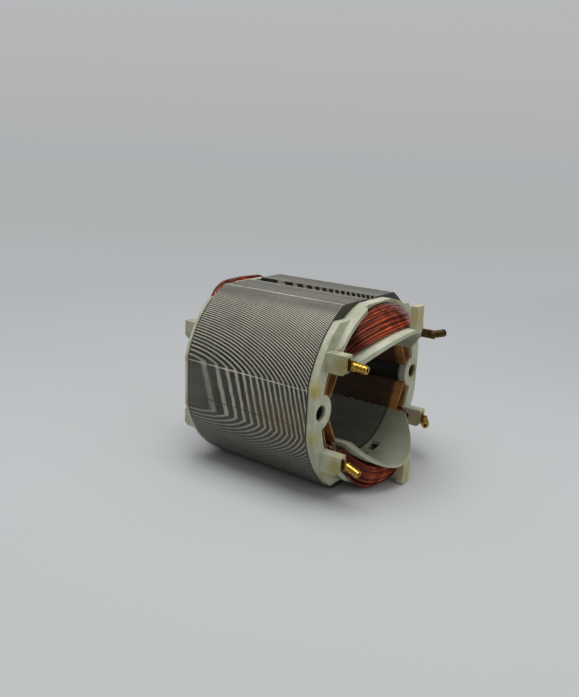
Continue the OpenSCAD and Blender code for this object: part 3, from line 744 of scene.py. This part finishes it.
def winding(level):
    """A coil: a dark core 2.4 wire radii inside the surface, painted dark all through as the shade between
    the wires, and enamelled wires laid round it.

    Most wires are dark, and a few bright: shade is an even draw to the power 1.6. Painted shade rises to
    0.75 on the near side, as a smoothstep from 4 to 20 mm off the axis, and each wire is a little darker or
    lighter at random.
    """
    surface = coil_loop(WIRES * COLUMNS, level < 0)
    inward = surface.mean(1, keepdims=True) - surface
    inward /= np.linalg.norm(inward, axis=2, keepdims=True)
    core = (surface + inward * WIRE_R * 2.4)[:, ::COLUMNS]
    paths = [wire_path(surface, inward, False, wire * COLUMNS) for wire in range(WIRES)]
    for _ in range(LOOSE_WIRES):
        paths.append(wire_path(surface, inward, True, rng.uniform(0, WIRES * COLUMNS)))
    paths = np.stack(paths)
    looped = np.concatenate([paths[:, -1:], paths, paths[:, :1]], 1)
    wires = tubes(looped, WIRE_R, WIRE_SIDES)[:, 1:-1]
    rings, each = len(surface), len(surface) * WIRE_SIDES
    start = core.shape[0] * core.shape[1]
    faces = [closed_faces(rings, WIRES, 0)]
    faces += [closed_faces(rings, WIRE_SIDES, start + i * each) for i in range(len(wires))]
    points = np.concatenate([core.reshape(-1, 3), wires.reshape(-1, 3)])
    shade = np.concatenate([np.zeros(start), np.repeat(rng.uniform(0, 1, len(wires)) ** 1.6, each)])
    # painted shade: darker on the near side, and all dark on the core
    near_shade_and_tone = smoothstep((-points[:, 1] - 4) / 16) * 0.75
    near_shade_and_tone[start:] += np.repeat(rng.uniform(-0.1, 0.15, len(wires)), each)
    near_shade_and_tone[:start] = 1
    faces = np.concatenate(faces)[:, ::-1] if level > 0 else np.concatenate(faces)
    name = "upper" if level > 0 else "lower"
    obj = piece(
        f"{name}_winding", points * (1, 1, level), faces.tolist(), COPPER,
        60, {"shade": shade, "deep": np.clip(near_shade_and_tone, 0, 1)},
    )
    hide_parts(f"{name}_coil")


# ---- Leads -------------------------------------------------------------------------------

def smooth_path(corners, count):
    """A curve through the corner points: Catmull-Rom, cut into count points."""
    p = np.array(corners, float)
    p = np.concatenate([[2 * p[0] - p[1]], p, [2 * p[-1] - p[-2]]])
    u = np.linspace(0, len(p) - 3 - 1e-6, count)
    i = u.astype(int)
    t = (u - i)[:, None]
    a, b, c, d = p[i], p[i + 1], p[i + 2], p[i + 3]
    return 0.5 * (2 * b + (c - a) * t + (2 * a - 5 * b + 4 * c - d) * t**2 + (3 * b - a - 3 * c + d) * t**3)


# the lead of the far upper slot, from the coil side to its post; the others mirror it
LEAD_ROUTE = (
    (STACK_END + 0.15, 25.0, 12.2), (28.8, 23.9, 13.6), (28.95, 25.0, 14.9),
    (29.05, 25.9, 15.5), (28.9, 26.5, 16.1),
)
LEAD_STEPS, LEAD_SIDES = 40, 8
LEAD_TURNS, LEAD_SPREAD, LEAD_WIRE_R = 1.6, 0.24, 0.25


def twisted_lead(node, side, level):
    """Three wires twisted round each other along the lead: each lies on a helix about the path.

    A point is path + LEAD_SPREAD (cos t u + sin t v), with t rising by LEAD_TURNS turns.
    """
    path = smooth_path(LEAD_ROUTE, LEAD_STEPS)
    tangent = np.gradient(path, axis=0)
    tangent /= np.linalg.norm(tangent, axis=1, keepdims=True)
    u = np.cross(tangent, (0.3, 0.1, 0.9))  # a direction that the lead doesn't take
    u /= np.linalg.norm(u, axis=1, keepdims=True)
    v = np.cross(tangent, u)
    turns = np.linspace(0, 2 * np.pi * LEAD_TURNS, len(path))[:, None]
    wires = np.stack([
        path + LEAD_SPREAD * (np.cos(turns + phase) * u + np.sin(turns + phase) * v)
        for phase in (0, 2 * np.pi / 3, 4 * np.pi / 3)
    ])
    rings = tubes(wires, LEAD_WIRE_R, LEAD_SIDES)
    per_wire = LEAD_STEPS * LEAD_SIDES
    faces = []
    for start in range(0, len(wires) * per_wire, per_wire):
        end = start + per_wire
        faces += ring_faces(LEAD_STEPS, LEAD_SIDES, start).tolist()
        faces += [list(range(start, start + LEAD_SIDES)), list(range(end - LEAD_SIDES, end))[::-1]]
    if side * level > 0:
        faces = [face[::-1] for face in faces]
    points = rings.reshape(-1, 3) * (1, side, level)
    obj = piece(node.replace("lead", "twisted_lead"), points, faces, LEAD, 60)
    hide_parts(node)


# ---- The part ----------------------------------------------------------------------------

stamped_sheets()
winding(1)
winding(-1)
for near_far, side in (("near", -1), ("far", 1)):
    for up_low, level in (("upper", 1), ("lower", -1)):
        twisted_lead(f"{near_far}_{up_low}_lead", side, level)

FINISHES = {
    "frame": NYLON, "liner": PAPER, "strip": PAPER, "terminal": BRASS,
    "stack": STEEL, "coil": COPPER, "lead": LEAD,
}
for name, node in NODES.items():
    finish = FINISHES[name.split("_")[-1]]
    if name == "far_upper_terminal":
        finish = DARK_BRASS
    node.data.materials.clear()
    node.data.materials.append(finish)


# ---- Floor, light and camera -------------------------------------------------------------

FLOOR_Z = -HALF_H
CAMERA_AT = Vector((135.3, -198.9, 74.4)) * MM
YAW, PITCH, ROLL = (np.radians(a) for a in (35.63, 15.22, 2.49))
FOCAL_WIDTHS = 697.7 / 579     # focal length as a share of the view's width


def sweep_finish():
    """Matt studio paper, pale grey: it takes the shadow near the part, and glows evenly far back."""
    material, tree, shader, _ = new_material("pale_studio_paper")
    run = attribute(tree, "run")
    near = add(tree, "ValToRGB", Fac=run)
    far = add(tree, "ValToRGB", Fac=run)
    for node, stops in ((near, NEAR_TONES), (far, FAR_TONES)):
        for i, (place, hex_code) in enumerate(stops):
            stop = node.color_ramp.elements[i] if i < 2 else node.color_ramp.elements.new(place)
            stop.position, stop.color = place, colour(hex_code)
    tree.links.new(near.outputs["Color"], shader.inputs["Base Color"])
    shader.inputs["Roughness"].default_value = 0.9
    shader.inputs["Specular IOR Level"].default_value = 0.1
    rays = add(tree, "LightPath").outputs
    seen = math(tree, "MAXIMUM", rays["Is Camera Ray"], rays["Is Glossy Ray"])
    seen = math(tree, "MAXIMUM", seen, rays["Is Transmission Ray"])
    glow = add(tree, "Emission", Color=far.outputs["Color"], Strength=1.0)
    share = math(tree, "MULTIPLY", seen, ramp(tree, run, 0.12, 0.24))
    both = add(tree, "MixShader", Fac=share)
    tree.links.new(shader.outputs[0], both.inputs[1])
    tree.links.new(glow.outputs[0], both.inputs[2])
    tree.links.new(both.outputs[0], tree.nodes["Material Output"].inputs["Surface"])
    return material


# tones along the sweep: share of its run from the front, and colour, with the two end stops first
NEAR_TONES = (
    (0.0, "#b2b4b4"), (0.24, "#c0c2c4"),
    (0.042, "#b2b4b4"), (0.076, "#b6b8b9"), (0.125, "#b5b7b8"), (0.18, "#bbbdbf"),
)
FAR_TONES = (
    (0.0, "#c3c4c6"), (0.954, "#b6b7b9"),
    (0.076, "#c3c4c6"), (0.125, "#babdbf"), (0.18, "#b4b6b8"), (0.318, "#aeb2b3"),
    (0.508, "#abb0b1"), (0.68, "#adb1b2"), (0.81, "#b1b2b4"),
)


def studio_sweep():
    """Floor that rises into a wall behind the part: a straight run, a quarter round, a straight rise.

    Its tones follow run: how far back plus how high, from 250 mm before the part, as a share of 3 m.
    """
    toward = np.array([-np.sin(YAW), np.cos(YAW)])
    sideways = np.array([toward[1], -toward[0]])
    bend, rise, near, far, half, columns = 600.0, 1500.0, -900.0, 1500.0, 2600.0, 9
    floor = np.stack([np.linspace(near, far, 40), np.zeros(40)], -1)
    a = np.linspace(0, np.pi / 2, 24)[1:]
    curve = np.stack([far + bend * np.sin(a), bend * (1 - np.cos(a))], -1)
    wall = np.stack([np.full(10, far + bend), np.linspace(bend, bend + rise, 11)[1:]], -1)
    line = np.concatenate([floor, curve, wall])
    run = np.clip((line[:, 0] + line[:, 1] + 250) / 3000, 0, 1)
    across = np.linspace(-half, half, columns)
    base = line[:, None, :1] * toward + across[None, :, None] * sideways
    up = np.broadcast_to((line[:, 1] + FLOOR_Z)[:, None, None], (*base.shape[:2], 1))
    points = np.concatenate([base, up], -1).reshape(-1, 3)
    k, n = np.meshgrid(np.arange(len(line) - 1), np.arange(columns - 1), indexing="ij")
    corner = k * columns + n
    faces = np.stack([corner, corner + 1, corner + columns + 1, corner + columns], -1).reshape(-1, 4)
    mesh = bpy.data.meshes.new("studio_sweep")
    mesh.from_pydata((points * MM).tolist(), [], faces.tolist())
    mesh.shade_smooth()
    layer = mesh.attributes.new("run", "FLOAT", "POINT")
    layer.data.foreach_set("value", np.repeat(run, columns).astype(np.float32))
    mesh.materials.append(sweep_finish())
    obj = bpy.data.objects.new("studio_sweep", mesh)
    bpy.context.scene.collection.objects.link(obj)


def soft_light(name, place_mm, size_mm, watts):
    """A square soft box aimed at the part."""
    light = bpy.data.lights.new(name, "AREA")
    light.size = size_mm * MM
    light.energy = watts
    obj = bpy.data.objects.new(name, light)
    obj.location = Vector(place_mm) * MM
    obj.rotation_euler = obj.location.to_track_quat("Z", "Y").to_euler()
    bpy.context.scene.collection.objects.link(obj)


def sky(low, high):
    """White room light: strength low at the horizon, rising with the sine of the elevation to high."""
    world = bpy.data.worlds.new("studio")
    world.use_nodes = True
    tree = world.node_tree
    ground = tree.nodes["Background"]
    ground.inputs["Color"].default_value = (0.97, 0.985, 1.0, 1.0)
    up = add(tree, "SeparateXYZ", Vector=add(tree, "TexCoord").outputs["Generated"]).outputs["Z"]
    tree.links.new(ramp(tree, up, 0, 1, low, high), ground.inputs["Strength"])
    bpy.context.scene.world = world


def camera():
    """The camera: yaw about Z, pitch down and roll about its own axis."""
    view = np.array([-np.sin(YAW) * np.cos(PITCH), np.cos(YAW) * np.cos(PITCH), -np.sin(PITCH)])
    level = np.array([np.cos(YAW), np.sin(YAW), 0.0])
    upright = np.cross(level, view)
    right = np.cos(ROLL) * level + np.sin(ROLL) * upright
    up = -np.sin(ROLL) * level + np.cos(ROLL) * upright
    data = bpy.data.cameras.new("camera")
    data.sensor_fit = "HORIZONTAL"
    data.sensor_width = 36.0
    data.lens = 36.0 * FOCAL_WIDTHS
    data.clip_start = 0.01
    obj = bpy.data.objects.new("camera", data)
    turn = Matrix(np.stack([right, up, -view], -1).tolist()).to_4x4()
    obj.matrix_world = Matrix.Translation(CAMERA_AT) @ turn
    bpy.context.scene.collection.objects.link(obj)
    bpy.context.scene.camera = obj


studio_sweep()
sky(0.12, 0.68)
soft_light("key_light", (0, -80, 620), 420, 3.2)
soft_light("fill_light", (380, -40, 90), 260, 0.22)
camera()
bpy.context.scene.view_settings.view_transform = "Standard"
